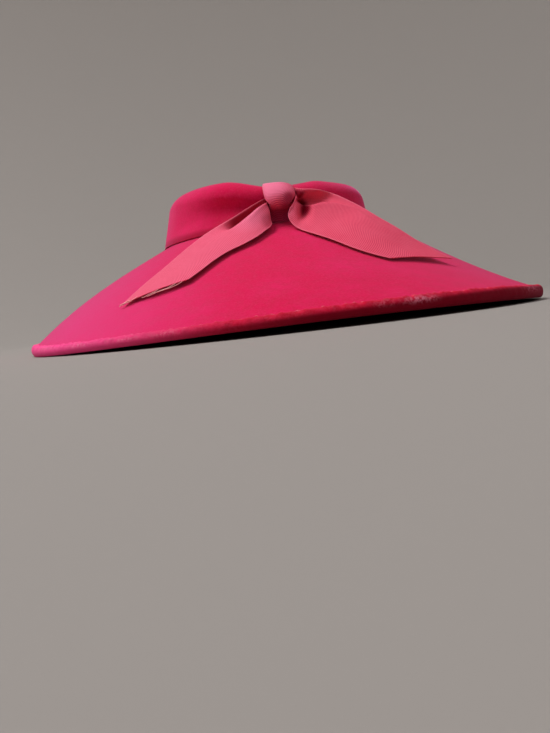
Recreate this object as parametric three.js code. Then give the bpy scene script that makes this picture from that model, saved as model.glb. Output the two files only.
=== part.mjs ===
// A wide-brim felt hat with a low crown, a padded rolled rim and a flat ribbon bow.
//
// Millimetres, +Z up, the wearer's front towards -Y. The origin is the middle of the rim, on the
// surface that the rim rests on. Left and right are as seen from the front. An angle is in degrees
// round the hat: 0 at the right (+X), 90 at the back, 180 at the left and 270 at the front. The brim's
// reach is 0 at the foot of the crown and 1 at the outer edge of the felt.

import * as THREE from "three";

// ---- driving dimensions --------------------------------------------------------------------------

const FELT = 2.4; // thickness of the brim and of the crown
const GAP = 0.3; // clearance between pieces that touch
const SEGMENTS = 72; // steps round the hat
const STEP = 360 / SEGMENTS;
const FRONT = 270;

// The felt's outer edge, which lies `inset` below the top of the roll that is padded over it. The front
// of the rim lifts a little off the surface.
const RIM = { radius: 194.1, inset: 1.6, lift: 4.8, liftAngle: 275, liftReach: 86 };

// The padded roll over the felt's edge, an oval in section whose lowest `flat` is cut off where it
// rests. It is thinner at the left of the front.
const ROLL = {
  radius: 194.3,
  halfWidth: 3.2,
  height: 9,
  flat: 0.3,
  thinner: 2.4,
  thinAngle: 232,
  thinReach: 70,
};

// The oval where the crown meets the brim: it sits towards the back and tips a little.
const FOOT = {
  middle: -1.5,
  halfWidth: 86.5,
  halfDepth: 98,
  setBack: 42.5,
  height: 78.9,
  rightRise: 4.3,
  backRise: 1.5,
};

// How far the brim bows above a straight slope: it bulges at the left and hollows at the right. The
// skew moves the bow towards the rim.
const BOW = { mean: 0.45, right: -4.85, skew: 0.75, skewRight: -4.25 };

const CROWN = {
  height: 112, // of the top's edge above the resting surface
  rightRise: -4, // the top is lower at the right
  lean: 8.5, // degrees that the wall leans inward
  edgeRadius: 15, // of the rounded top edge
  dome: 1.5, // how far the middle of the top stands above its edge
  dip: 7, // the front edge is drawn down by the bow
  dipReach: 34,
  waist: 5, // the front wall is hollow between its foot and its edge
  waistReach: 95,
};

const COLLAR_HEIGHT = 7; // the brim's turned-up inner edge, stitched inside the crown

const RIBBON_THICKNESS = 1.2;

// ---- small helpers -------------------------------------------------------------------------------

const radians = THREE.MathUtils.degToRad;
const lerp = THREE.MathUtils.lerp;
const clamp = THREE.MathUtils.clamp;

// 1 at the centre angle, falling smoothly to 0 at `reach` degrees either side of it.
function swell(angle, centre, reach) {
  const away = Math.abs(THREE.MathUtils.euclideanModulo(angle - centre + 180, 360) - 180);
  return away < reach ? Math.cos((radians(90) * away) / reach) ** 2 : 0;
}

// Small steps for measuring a surface's slope, in degrees round the hat and as a share of its section.
const NUDGE = { angle: 0.5, share: 0.005 };

// The unit normal of a surface given by a function of an angle and a place on its section.
function normalOf(surface, angle, place) {
  const round = surface(angle + NUDGE.angle, place).sub(surface(angle - NUDGE.angle, place));
  const along = surface(angle, place + NUDGE.share).sub(surface(angle, place - NUDGE.share));
  return round.cross(along).normalize();
}

// ---- the surfaces that the pieces share ----------------------------------------------------------

function footPoint(angle) {
  const across = Math.cos(radians(angle));
  const back = Math.sin(radians(angle));
  return new THREE.Vector3(
    FOOT.middle + FOOT.halfWidth * across,
    FOOT.setBack + FOOT.halfDepth * back,
    FOOT.height + FOOT.rightRise * across + FOOT.backRise * back,
  );
}

function rimLift(angle) {
  return RIM.lift * swell(angle, RIM.liftAngle, RIM.liftReach);
}

function rollHeight(angle) {
  return ROLL.height - ROLL.thinner * swell(angle, ROLL.thinAngle, ROLL.thinReach);
}

function rimPoint(angle) {
  return new THREE.Vector3(
    RIM.radius * Math.cos(radians(angle)),
    RIM.radius * Math.sin(radians(angle)),
    rollHeight(angle) - RIM.inset + rimLift(angle),
  );
}

// The brim's upper face.
function brimPoint(angle, reach) {
  const point = footPoint(angle).lerp(rimPoint(angle), reach);
  const across = Math.cos(radians(angle));
  const bow = BOW.mean + BOW.right * across + (BOW.skew + BOW.skewRight * across) * (reach - 0.5);
  point.z += 4 * reach * (1 - reach) * bow;
  return point;
}

function brimNormal(angle, reach) {
  return normalOf(brimPoint, angle, reach).negate();
}

// How fast the brim rises towards the crown at its foot, as height over distance.
function brimRiseAtFoot(angle) {
  const foot = brimPoint(angle, 0);
  const out = brimPoint(angle, NUDGE.share);
  return (foot.z - out.z) / Math.hypot(out.x - foot.x, out.y - foot.y);
}

function straightWallHeight(angle) {
  const top = CROWN.height + CROWN.rightRise * Math.cos(radians(angle))
    - CROWN.dip * swell(angle, FRONT, CROWN.dipReach);
  return top - footPoint(angle).z - CROWN.edgeRadius * (1 - Math.sin(radians(CROWN.lean)));
}

// The crown's outer face. Station 0 is the foot, 1 the top of the straight wall, 2 the inner end of the
// rounded edge and 3 the middle of the top.
function crownPoint(angle, station) {
  const foot = footPoint(angle);
  const straight = straightWallHeight(angle);
  const wall = Math.min(station, 1);
  const turn = lerp(radians(CROWN.lean), radians(90), clamp(station - 1, 0, 1));
  const towardMiddle = clamp(station - 2, 0, 1);
  const startTurn = radians(CROWN.lean);
  const rise = straight * wall + CROWN.edgeRadius * (Math.sin(turn) - Math.sin(startTurn));
  const wallHeight = straight + CROWN.edgeRadius * (1 - Math.sin(startTurn));
  const hollow = CROWN.waist * swell(angle, FRONT, CROWN.waistReach)
    * Math.sin(Math.PI * clamp(rise / wallHeight, 0, 1)) ** 2;
  const inward = straight * wall * Math.tan(startTurn)
    + CROWN.edgeRadius * (Math.cos(startTurn) - Math.cos(turn)) + hollow;
  const spread = 1 - towardMiddle;
  const level = CROWN.height + CROWN.dome;
  const edge = foot.z + rise;
  return new THREE.Vector3(
    FOOT.middle + (FOOT.halfWidth - inward) * spread * Math.cos(radians(angle)),
    FOOT.setBack + (FOOT.halfDepth - inward) * spread * Math.sin(radians(angle)),
    towardMiddle > 0 ? lerp(edge, level, 1 - spread ** 2) : edge,
  );
}

// A point `depth` inside the crown's outer face.
function insideCrown(angle, station, depth) {
  const normal = normalOf(crownPoint, angle, station);
  return crownPoint(angle, station).addScaledVector(normal, -depth);
}

// ---- solids from grids of points -----------------------------------------------------------------

function geometryFrom(points, triangles) {
  const geometry = new THREE.BufferGeometry();
  geometry.setFromPoints(points);
  geometry.setIndex(triangles.flat());
  geometry.computeVertexNormals();
  return geometry;
}

// A closed solid from rows of points that run round the hat, the last joining the first. Each row is a
// closed loop, anticlockwise with the outside of the hat to the right. A row that starts and ends on
// shared poles is given without them.
function solidOfRevolution(rows, poles = []) {
  const count = rows[0].length;
  const points = [...rows.flat(), ...poles];
  const triangles = [];
  const at = (row, column) => (row % rows.length) * count + (column % count);
  const columns = poles.length ? count - 1 : count;
  for (let row = 0; row < rows.length; row += 1) {
    for (let column = 0; column < columns; column += 1) {
      triangles.push([at(row, column), at(row + 1, column), at(row + 1, column + 1)]);
      triangles.push([at(row, column), at(row + 1, column + 1), at(row, column + 1)]);
    }
    if (poles.length) {
      triangles.push([rows.length * count, at(row + 1, 0), at(row, 0)]);
      triangles.push([rows.length * count + 1, at(row, count - 1), at(row + 1, count - 1)]);
    }
  }
  return geometryFrom(points, triangles);
}

// A sheet of the given thickness whose outer face is a grid of points.
function sheetSolid(grid, thickness) {
  const rows = grid.length;
  const columns = grid[0].length;
  const inner = grid.map((line, row) => line.map((point, column) => {
    const before = grid[Math.max(row - 1, 0)][column];
    const after = grid[Math.min(row + 1, rows - 1)][column];
    const left = line[Math.max(column - 1, 0)];
    const right = line[Math.min(column + 1, columns - 1)];
    const normal = after.clone().sub(before).cross(right.clone().sub(left)).normalize();
    return point.clone().addScaledVector(normal, -thickness);
  }));
  const points = [...grid.flat(), ...inner.flat()];
  const outer = (row, column) => row * columns + column;
  const under = (row, column) => rows * columns + outer(row, column);
  const triangles = [];
  const quad = (a, b, c, d) => triangles.push([a, b, c], [a, c, d]);
  for (let row = 0; row < rows - 1; row += 1) {
    for (let column = 0; column < columns - 1; column += 1) {
      quad(outer(row, column), outer(row + 1, column), outer(row + 1, column + 1), outer(row, column + 1));
      quad(under(row, column), under(row, column + 1), under(row + 1, column + 1), under(row + 1, column));
    }
    quad(outer(row, 0), under(row, 0), under(row + 1, 0), outer(row + 1, 0));
    const last = columns - 1;
    quad(outer(row, last), outer(row + 1, last), under(row + 1, last), under(row, last));
  }
  for (let column = 0; column < columns - 1; column += 1) {
    quad(outer(0, column), outer(0, column + 1), under(0, column + 1), under(0, column));
    const last = rows - 1;
    quad(outer(last, column), under(last, column), under(last, column + 1), outer(last, column + 1));
  }
  return geometryFrom(points, triangles);
}

function roundTheHat(sectionAt) {
  return Array.from({ length: SEGMENTS }, (_, index) => sectionAt(index * STEP));
}

// ---- brim ----------------------------------------------------------------------------------------

const BRIM_REACHES = [1, 0.84, 0.66, 0.48, 0.3, 0.14, 0];

function brimSection(angle) {
  const upper = BRIM_REACHES.map((reach) => brimPoint(angle, reach));
  const lower = BRIM_REACHES.map(
    (reach) => brimPoint(angle, reach).addScaledVector(brimNormal(angle, reach), -FELT),
  ).reverse();
  const rise = brimRiseAtFoot(angle);
  const straight = straightWallHeight(angle);
  const outerDepth = FELT + GAP;
  const innerDepth = outerDepth + FELT;
  const outerFoot = (outerDepth * rise) / straight;
  const innerFoot = (innerDepth * rise - FELT * Math.hypot(1, rise)) / straight;
  const collarTop = outerFoot + COLLAR_HEIGHT / straight;
  const collar = [
    insideCrown(angle, outerFoot, outerDepth),
    insideCrown(angle, collarTop, outerDepth),
    insideCrown(angle, collarTop, innerDepth),
    insideCrown(angle, innerFoot, innerDepth),
  ];
  return [...upper, ...collar, ...lower];
}

// ---- crown ---------------------------------------------------------------------------------------

const OUTER_STATIONS = [0, 0.35, 0.7, 1, 1.3, 1.6, 2, 2.12, 2.35, 2.65];
const INNER_STATIONS = [0, 0.35, 0.7, 1, 1.5, 2, 2.3, 2.65];

function crownSection(angle) {
  const straight = straightWallHeight(angle);
  const rise = brimRiseAtFoot(angle);
  const clearance = GAP * Math.hypot(1, rise);
  const seatOuter = clearance / straight;
  const seatInner = (clearance + FELT * (rise + Math.sin(radians(CROWN.lean)))) / straight;
  const aboveSeat = (station, seat) => (station < 1 ? lerp(seat, 1, station) : station);
  const outer = OUTER_STATIONS.map(
    (station) => crownPoint(angle, aboveSeat(station, seatOuter)),
  );
  const inner = INNER_STATIONS.map(
    (station) => insideCrown(angle, aboveSeat(station, seatInner), FELT),
  );
  return [...inner.reverse(), ...outer];
}

function crownPoles() {
  const top = crownPoint(0, 3);
  return [top.clone().setZ(top.z - FELT), top];
}

// ---- rolled rim ----------------------------------------------------------------------------------

const OUTER_ARC_STEPS = 7;
const INNER_ARC_STEPS = 2;

// Where a line in the section's plane leaves the oval, as a turn round the oval.
function turnWhereLineLeaves(oval, start, direction) {
  const u = (start.x - ROLL.radius) / ROLL.halfWidth;
  const v = (start.y - oval.middle) / oval.halfHeight;
  const du = direction.x / ROLL.halfWidth;
  const dv = direction.y / oval.halfHeight;
  const a = du * du + dv * dv;
  const b = u * du + v * dv;
  const c = u * u + v * v - 1;
  const along = (-b + Math.sqrt(b * b - a * c)) / a;
  return Math.atan2(v + dv * along, u + du * along);
}

function ovalPoint(oval, turn) {
  return new THREE.Vector2(
    ROLL.radius + ROLL.halfWidth * Math.cos(turn),
    oval.middle + oval.halfHeight * Math.sin(turn),
  );
}

// The section is an oval with a flat underside and a slot that takes the felt's edge.
function rollSection(angle) {
  const normal = brimNormal(angle, 1);
  const outward = Math.hypot(normal.x, normal.y);
  const up = new THREE.Vector2(outward, normal.z).normalize();
  const inward = new THREE.Vector2(-up.y, up.x);
  const halfHeight = (rollHeight(angle) + ROLL.flat) / 2;
  const oval = { halfHeight, middle: rollHeight(angle) - halfHeight };
  const feltTop = new THREE.Vector2(RIM.radius, rollHeight(angle) - RIM.inset);
  const feltUnder = feltTop.clone().addScaledVector(up, -FELT);
  const slotTop = feltTop.clone().addScaledVector(up, GAP).addScaledVector(inward, -GAP);
  const slotUnder = feltUnder.clone().addScaledVector(up, -GAP).addScaledVector(inward, -GAP);
  const flatTurn = Math.asin(-oval.middle / oval.halfHeight);
  const upperLip = turnWhereLineLeaves(oval, slotTop, inward);
  const lowerTurn = turnWhereLineLeaves(oval, slotUnder, inward);
  const lowerLip = THREE.MathUtils.euclideanModulo(lowerTurn, 2 * Math.PI);
  const section = [];
  for (let step = 0; step <= OUTER_ARC_STEPS; step += 1) {
    section.push(ovalPoint(oval, lerp(flatTurn, upperLip, step / OUTER_ARC_STEPS)));
  }
  section.push(slotTop, slotUnder);
  for (let step = 0; step <= INNER_ARC_STEPS; step += 1) {
    section.push(ovalPoint(oval, lerp(lowerLip, Math.PI - flatTurn, step / INNER_ARC_STEPS)));
  }
  return section.map((point) => new THREE.Vector3(
    point.x * Math.cos(radians(angle)),
    point.x * Math.sin(radians(angle)),
    Math.max(point.y, 0) + rimLift(angle),
  ));
}

// ---- ribbon bow ----------------------------------------------------------------------------------

// The band over the front edge of the crown, from its end on the top, down over the bow's middle and to
// the foot. Each row is one place along it: the middle line, the two edges, and how far they fall back.
const BAND_ROWS = [
  { y: -27, z: 109.7, left: -9.4, right: 5.6, fallBack: -0.2 },
  { y: -37, z: 108.3, left: -11.0, right: 7.0, fallBack: 0.2 },
  { y: -46, z: 106.6, left: -12.6, right: 8.0, fallBack: 1.2 },
  { y: -54, z: 104.5, left: -13.8, right: 8.6, fallBack: 2.4 },
  { y: -61, z: 100.8, left: -14.4, right: 8.4, fallBack: 3.4 },
  { y: -65.6, z: 95.8, left: -13.8, right: 7.2, fallBack: 5.0 },
  { y: -67, z: 90.4, left: -12.2, right: 5.6, fallBack: 4.5 },
  { y: -65, z: 85.2, left: -11.4, right: 4.2, fallBack: 3.0 },
  { y: -61.4, z: 81.2, left: -11.0, right: 3.4, fallBack: 1.2 },
  { y: -59.4, z: 76.4, left: -10.6, right: 4.0, fallBack: 0.4 },
];
const BAND_COLUMNS = 7;
const BAND_STEPS = 17;

// A smooth curve through rows of the named values, sampled at `count` even places.
function smoothRows(rows, names, count) {
  const at = (index) => rows[clamp(index, 0, rows.length - 1)];
  return Array.from({ length: count }, (_, step) => {
    const place = (step / (count - 1)) * (rows.length - 1);
    const index = Math.min(Math.floor(place), rows.length - 2);
    const t = place - index;
    const blend = (name) => {
      const [a, b, c, d] = [-1, 0, 1, 2].map((offset) => at(index + offset)[name]);
      return b + 0.5 * t * (c - a + t * (2 * a - 5 * b + 4 * c - d + t * (3 * (b - c) + d - a)));
    };
    return Object.fromEntries(names.map((name) => [name, blend(name)]));
  });
}

function bandGrid() {
  const line = new THREE.CatmullRomCurve3(BAND_ROWS.map((row) => new THREE.Vector3(0, row.y, row.z)));
  const rows = smoothRows(BAND_ROWS, ["y", "z", "left", "right", "fallBack"], BAND_STEPS);
  return rows.map((row, index) => {
    const along = line.getTangent(index / (rows.length - 1));
    return Array.from({ length: BAND_COLUMNS }, (_, column) => {
      const side = (2 * column) / (BAND_COLUMNS - 1) - 1;
      const back = row.fallBack * side ** 2;
      return new THREE.Vector3(
        lerp(row.left, row.right, (side + 1) / 2),
        row.y - back * along.z,
        row.z + back * along.y,
      );
    });
  });
}

// The bow's two tails. Each row crosses the ribbon from its front edge to its back edge. Where the
// ribbon is gathered at the band it is pleated: `fold` is how far the pleat stands proud of a straight
// line from edge to edge, and `belly` how far the rest of the ribbon bows.
const LEFT_TAIL = [
  { frontX: -4, frontY: -58.5, frontZ: 85.5, backX: -4, backY: -54.5, backZ: 97, fold: 2, belly: 0 },
  { frontX: -13.2, frontY: -60.2, frontZ: 83, backX: -13.5, backY: -55, backZ: 95.5, fold: 3, belly: 0 },
  { frontX: -12.4, frontY: -69.5, frontZ: 74.6, backX: -26, backY: -54, backZ: 91, fold: 6.5, belly: 0 },
  { frontX: -18.9, frontY: -75.6, frontZ: 69.7, backX: -38.4, backY: -50, backZ: 85.6, fold: 4.5, belly: 0.5 },
  { frontX: -26.6, frontY: -83, frontZ: 65.3, backX: -49.8, backY: -49.5, backZ: 79.6, fold: 1.5, belly: 2 },
  { frontX: -37.3, frontY: -89.1, frontZ: 60.6, backX: -61.7, backY: -57.6, backZ: 72.4, fold: 0.3, belly: 2 },
  { frontX: -47.9, frontY: -94.3, frontZ: 56.6, backX: -75.7, backY: -66.2, backZ: 64.5, fold: 0, belly: 2 },
  { frontX: -58.2, frontY: -102.7, frontZ: 51.2, backX: -91, backY: -78.5, backZ: 53.5, fold: 0, belly: 2 },
  { frontX: -67.4, frontY: -111, frontZ: 45.4, backX: -106.4, backY: -92.2, backZ: 41.4, fold: 0, belly: 1.5 },
  { frontX: -76.6, frontY: -119, frontZ: 39.8, backX: -120.4, backY: -110.5, backZ: 28.8, fold: 0, belly: 1 },
];

const RIGHT_TAIL = [
  { frontX: -2.8, frontY: -58.5, frontZ: 87, backX: -2.8, backY: -54, backZ: 97, fold: 2, belly: 0 },
  { frontX: 8.5, frontY: -58.6, frontZ: 89.5, backX: 8.5, backY: -53.5, backZ: 97.6, fold: 1.5, belly: 0 },
  { frontX: 3.5, frontY: -69, frontZ: 85.5, backX: 15, backY: -57, backZ: 99.3, fold: 2.5, belly: 0 },
  { frontX: -0.3, frontY: -71, frontZ: 79.5, backX: 22, backY: -58, backZ: 98.4, fold: 3, belly: 0 },
  { frontX: 1.5, frontY: -74, frontZ: 73, backX: 30, backY: -61, backZ: 96.2, fold: 3.2, belly: 0 },
  { frontX: 6, frontY: -80, frontZ: 67.8, backX: 38, backY: -65, backZ: 91.9, fold: 3, belly: 0.5 },
  { frontX: 13.5, frontY: -91.5, frontZ: 62.6, backX: 51, backY: -75, backZ: 81, fold: 1.5, belly: 1 },
  { frontX: 22, frontY: -102.3, frontZ: 57, backX: 59.6, backY: -87, backZ: 71, fold: 0.5, belly: 2 },
  { frontX: 32.7, frontY: -116.2, frontZ: 48.9, backX: 70.9, backY: -96.2, backZ: 60.3, fold: 0, belly: 2 },
  { frontX: 42.1, frontY: -124.8, frontZ: 43.3, backX: 84.2, backY: -105.5, backZ: 47.3, fold: 0, belly: 1.5 },
  { frontX: 52.2, frontY: -131.4, frontZ: 38.7, backX: 100.2, backY: -115.3, backZ: 34.9, fold: 0, belly: 1 },
];

const TAIL_COLUMNS = 13;
const TAIL_STEPS = 22;

// The pleat's outline between the edges: how far along, and its share of the fold and of the belly.
const PLEAT = [
  { along: 0, fold: 0, belly: 0 },
  { along: 0.2, fold: 0.35, belly: 0.6 },
  { along: 0.42, fold: 0.75, belly: 1 },
  { along: 0.6, fold: 1, belly: 0.9 },
  { along: 0.74, fold: -0.35, belly: 0.65 },
  { along: 0.88, fold: -0.3, belly: 0.35 },
  { along: 1, fold: 0, belly: 0 },
];

function tailGrid(rows) {
  const names = Object.keys(rows[0]);
  const places = smoothRows(rows, names, TAIL_STEPS);
  const fronts = places.map((row) => new THREE.Vector3(row.frontX, row.frontY, row.frontZ));
  const backs = places.map((row) => new THREE.Vector3(row.backX, row.backY, row.backZ));
  const pleat = smoothRows(PLEAT, ["along", "fold", "belly"], TAIL_COLUMNS);
  return places.map((row, index) => {
    const across = backs[index].clone().sub(fronts[index]);
    const proud = new THREE.Vector3(0, -across.z, Math.hypot(across.x, across.y)).normalize();
    return pleat.map((point) => fronts[index].clone()
      .addScaledVector(across, point.along)
      .addScaledVector(proud, row.fold * point.fold + row.belly * point.belly));
  });
}

// The same grid with its columns the other way, which puts its outer face on the other side.
function mirrored(grid) {
  return grid.map((row) => [...row].reverse());
}

// ---- the hat -------------------------------------------------------------------------------------

const felt = { color: 0xd6345f, roughness: 0.95, metalness: 0 };
const rolledFelt = { color: 0xa82a48, roughness: 0.95, metalness: 0 };
const grosgrain = { color: 0xe0596f, roughness: 0.8, metalness: 0 };

const group = new THREE.Group();

function addPiece(name, geometry, look) {
  const mesh = new THREE.Mesh(geometry, new THREE.MeshStandardMaterial(look));
  mesh.name = name;
  group.add(mesh);
}

addPiece("brim", solidOfRevolution(roundTheHat(brimSection)), felt);
addPiece("crown", solidOfRevolution(roundTheHat(crownSection), crownPoles()), felt);
addPiece("edge_binding", solidOfRevolution(roundTheHat(rollSection)), rolledFelt);
addPiece("ribbon_knot", sheetSolid(bandGrid(), RIBBON_THICKNESS), grosgrain);
addPiece("ribbon_tail_left", sheetSolid(mirrored(tailGrid(LEFT_TAIL)), RIBBON_THICKNESS), grosgrain);
addPiece("ribbon_tail_right", sheetSolid(tailGrid(RIGHT_TAIL), RIBBON_THICKNESS), grosgrain);

export default group;
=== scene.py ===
# %% [markdown]
# # A wide-brim felt hat with a ribbon bow
#
# This lesson builds the looks of a felt hat: a wide brim, a low crown, a padded roll round the rim
# and a flat bow of grosgrain ribbon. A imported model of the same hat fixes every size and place. Each
# of its pieces is made again as a fine mesh, because felt and ribbon show soft bends, gathers and ribs
# that a plain solid leaves out. A few sizes and short tables shape them, so a changed number carries
# through the whole piece.

import math
from types import SimpleNamespace as Sizes

import bpy
import numpy as np
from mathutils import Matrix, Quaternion, Vector


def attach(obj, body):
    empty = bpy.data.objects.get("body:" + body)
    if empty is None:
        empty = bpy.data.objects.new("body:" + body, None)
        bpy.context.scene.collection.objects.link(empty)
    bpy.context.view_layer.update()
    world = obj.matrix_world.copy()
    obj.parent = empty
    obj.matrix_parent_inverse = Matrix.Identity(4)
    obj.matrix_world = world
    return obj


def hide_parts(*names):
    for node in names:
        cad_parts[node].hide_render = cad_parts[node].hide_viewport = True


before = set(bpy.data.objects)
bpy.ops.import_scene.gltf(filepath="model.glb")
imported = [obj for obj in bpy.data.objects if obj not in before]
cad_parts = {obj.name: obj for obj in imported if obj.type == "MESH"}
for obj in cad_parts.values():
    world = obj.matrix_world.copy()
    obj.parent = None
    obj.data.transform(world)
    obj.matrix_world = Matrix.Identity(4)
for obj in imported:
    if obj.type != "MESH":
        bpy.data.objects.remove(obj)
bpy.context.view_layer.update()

# %% [markdown]
# ## Shared tools
#
# Shapes are worked out in millimetres, which are easy to read, and one helper turns them into
# Blender's metres as it makes a mesh. Left and right are as seen from the front. An angle is in degrees
# round the hat: 0 at the right, 90 at the back, 180 at the left and 270 at the front. Numpy works on
# whole grids of points at once, which keeps the fine meshes quick to build.

# %% Small helpers
MM = 0.001
FRONT = 270
GAP = 0.3


def swell(angle, place):
    """1 at the place's angle, falling smoothly to 0 at its reach either way round the hat."""
    away = np.abs((angle - place.angle + 180) % 360 - 180)
    return np.where(away < place.reach, np.cos(np.radians(90 * away / place.reach)) ** 2, 0.0)


def ease(value, start, end):
    """0 at start, 1 at end, smooth between and level beyond. Sizes in pairs are such a start and end."""
    share = np.clip((value - start) / (end - start), 0, 1)
    return share * share * (3 - 2 * share)


def mix(first, second, share):
    return first + (second - first) * share


def xyz(x, y, z):
    return np.stack(np.broadcast_arrays(x, y, z), axis=-1)


def on_circle(angle, radius, height):
    direction = np.radians(angle)
    return xyz(radius * np.cos(direction), radius * np.sin(direction), height)


def unit(vectors):
    return vectors / np.linalg.norm(vectors, axis=-1, keepdims=True)


def table(text):
    """Rows of named numbers, from a line of column names and a line for each row."""
    names, *rows = text.strip().splitlines()
    return [Sizes(**dict(zip(names.split(), map(float, row.split())))) for row in rows]


def soft_waves(points, size, seed):
    """A smooth random field between about -1 and 1 whose bumps are about `size` wide."""
    rng = np.random.default_rng(seed)
    waves, slowest = 9, 0.35
    directions = unit(rng.normal(size=(waves, 3))) * (math.tau / size) * rng.uniform(slowest, 1, (waves, 1))
    phases = rng.uniform(0, math.tau, waves)
    return np.sin(points @ directions.T + phases).sum(axis=-1) / math.sqrt(waves * 2)


# %% Meshes from grids of points
def mesh_object(name, points, faces):
    mesh = bpy.data.meshes.new(name)
    faces = faces if isinstance(faces, list) else faces.tolist()
    mesh.from_pydata((np.asarray(points).reshape(-1, 3) * MM).tolist(), [], faces)
    mesh.validate()
    mesh.shade_smooth()
    made = bpy.data.objects.new(name, mesh)
    bpy.context.scene.collection.objects.link(made)
    triangles = sum(len(polygon.vertices) - 2 for polygon in mesh.polygons)
    print(f"{name}: {triangles} triangles, {[round(value / MM) for value in made.dimensions]} mm")
    return made


def grid_faces(rows, columns, start=0, close_rows=False, close_columns=False):
    """Quads between the points of a grid, whose points are numbered row by row."""
    row = np.arange(rows if close_rows else rows - 1)[:, None]
    column = np.arange(columns if close_columns else columns - 1)[None, :]
    next_row, next_column = (row + 1) % rows, (column + 1) % columns
    corners = [
        row * columns + column,
        next_row * columns + column,
        next_row * columns + next_column,
        row * columns + next_column,
    ]
    return start + np.stack(np.broadcast_arrays(*corners), axis=-1).reshape(-1, 4)


def ring_object(name, sections):
    """A closed ring from sections that run round the hat, each a closed loop of points."""
    rows, columns = sections.shape[:2]
    faces = grid_faces(rows, columns, close_rows=True, close_columns=True)
    return mesh_object(name, sections, faces)


def set_mask(piece, name, values):
    """A number from 0 to 1 at each point of a piece, for its material to read."""
    mask = piece.data.attributes.new(name, "FLOAT", "POINT")
    mask.data.foreach_set("value", np.clip(values, 0, 1).astype(np.float32).ravel())


# %% [markdown]
# ## The brim
#
# The brim is one sheet of felt pressed over a block: nearly a cone from the foot of the crown down to
# the rim, a little bulged on the left and hollow on the right. It could be sculpted, but the few sizes
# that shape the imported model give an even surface, a point for each angle and each place from foot to
# rim.

# %% The brim's surface
FELT = 2.4
RIM = Sizes(radius=194.1, inset=1.6)
RIM_LIFT = Sizes(height=4.8, angle=275, reach=86)
ROLL = Sizes(radius=194.3, half_width=3.2, height=9, flat=0.3)
THIN_ROLL = Sizes(less=2.4, angle=232, reach=70)
FOOT = Sizes(middle=-1.5, set_back=42.5, half_width=86.5, half_depth=98)
FOOT_HEIGHT = Sizes(mean=78.9, right_rise=4.3, back_rise=1.5)
BOW = Sizes(mean=0.45, right=-4.85, skew=0.75, skew_right=-4.25)


def foot_point(angle):
    across, back = np.cos(np.radians(angle)), np.sin(np.radians(angle))
    return xyz(
        FOOT.middle + FOOT.half_width * across,
        FOOT.set_back + FOOT.half_depth * back,
        FOOT_HEIGHT.mean + FOOT_HEIGHT.right_rise * across + FOOT_HEIGHT.back_rise * back,
    )


def rim_lift(angle):
    return RIM_LIFT.height * swell(angle, RIM_LIFT)


def roll_height(angle):
    return ROLL.height - THIN_ROLL.less * swell(angle, THIN_ROLL)


def rim_point(angle):
    return on_circle(angle, RIM.radius, roll_height(angle) - RIM.inset + rim_lift(angle))


def brim_point(angle, reach):
    """The brim's upper face, from reach 0 at the crown's foot to 1 at the felt's edge."""
    angle, reach = np.broadcast_arrays(angle, reach)
    point = mix(foot_point(angle), rim_point(angle), reach[..., None])
    across = np.cos(np.radians(angle))
    bow = BOW.mean + BOW.right * across + (BOW.skew + BOW.skew_right * across) * (reach - 0.5)
    point[..., 2] += 4 * reach * (1 - reach) * bow
    return point


def normal_of(surface, angle, place):
    """The unit normal of a surface, by small steps along it either way."""
    turn, share = 0.5, 0.005
    round_it = surface(angle + turn, place) - surface(angle - turn, place)
    along_it = surface(angle, place + share) - surface(angle, place - share)
    return unit(np.cross(round_it, along_it))


def brim_normal(angle, reach):
    return -normal_of(brim_point, angle, reach)


def brim_rise_at_foot(angle):
    """How fast the brim rises towards the crown at its foot, as height over distance."""
    share = 0.005
    inner, outer = brim_point(angle, 0.0), brim_point(angle, share)
    run = np.hypot(outer[..., 0] - inner[..., 0], outer[..., 1] - inner[..., 1])
    return (inner[..., 2] - outer[..., 2]) / run


print("the brim rises at the front by", round(float(brim_rise_at_foot(FRONT)), 2), "for each 1 across")

# %% [markdown]
# ## The crown
#
# The crown is a low oval drum of the same felt. Its wall leans in, its top edge is rounded, and the
# bow draws the front edge down and the wall inward. Wear has left it uneven: the left wall leans more,
# the wall is hollow under the edge beside the bow, and the edge is softer at the front right. Sculpting
# would give such hollows too, but here they are sizes that can be changed, at stations up the wall, over
# the rounded edge and in across the top.

# %% The crown's surface
CROWN = Sizes(height=112, right_rise=-4, lean=8.5, edge_radius=15, dome=1.5)
DIP = Sizes(depth=7, angle=FRONT, reach=34)
WAIST = Sizes(depth=4.4, low=0.75, angle=FRONT, reach=95)
SOFT_EDGE = Sizes(extra=8, angle=300, reach=34)
LEFT_LEAN = Sizes(amount=3.2, level=0.45, angle=187, reach=52)
UNDER_LIP = Sizes(depth=2.6, station=0.62, station_reach=0.46, angle=244, reach=46)


def patch(angle, station, place):
    """1 at the place's angle and station, falling smoothly to 0 at its reach in both."""
    away = np.clip(np.abs(station - place.station) / place.station_reach, 0, 1)
    return swell(angle, place) * np.cos(away * math.pi / 2) ** 2


def edge_radius(angle):
    return CROWN.edge_radius + SOFT_EDGE.extra * swell(angle, SOFT_EDGE)


def straight_wall_height(angle):
    top = CROWN.height + CROWN.right_rise * np.cos(np.radians(angle))
    top = top - DIP.depth * swell(angle, DIP)
    shoulder = edge_radius(angle) * (1 - math.sin(math.radians(CROWN.lean)))
    return top - foot_point(angle)[..., 2] - shoulder


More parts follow.
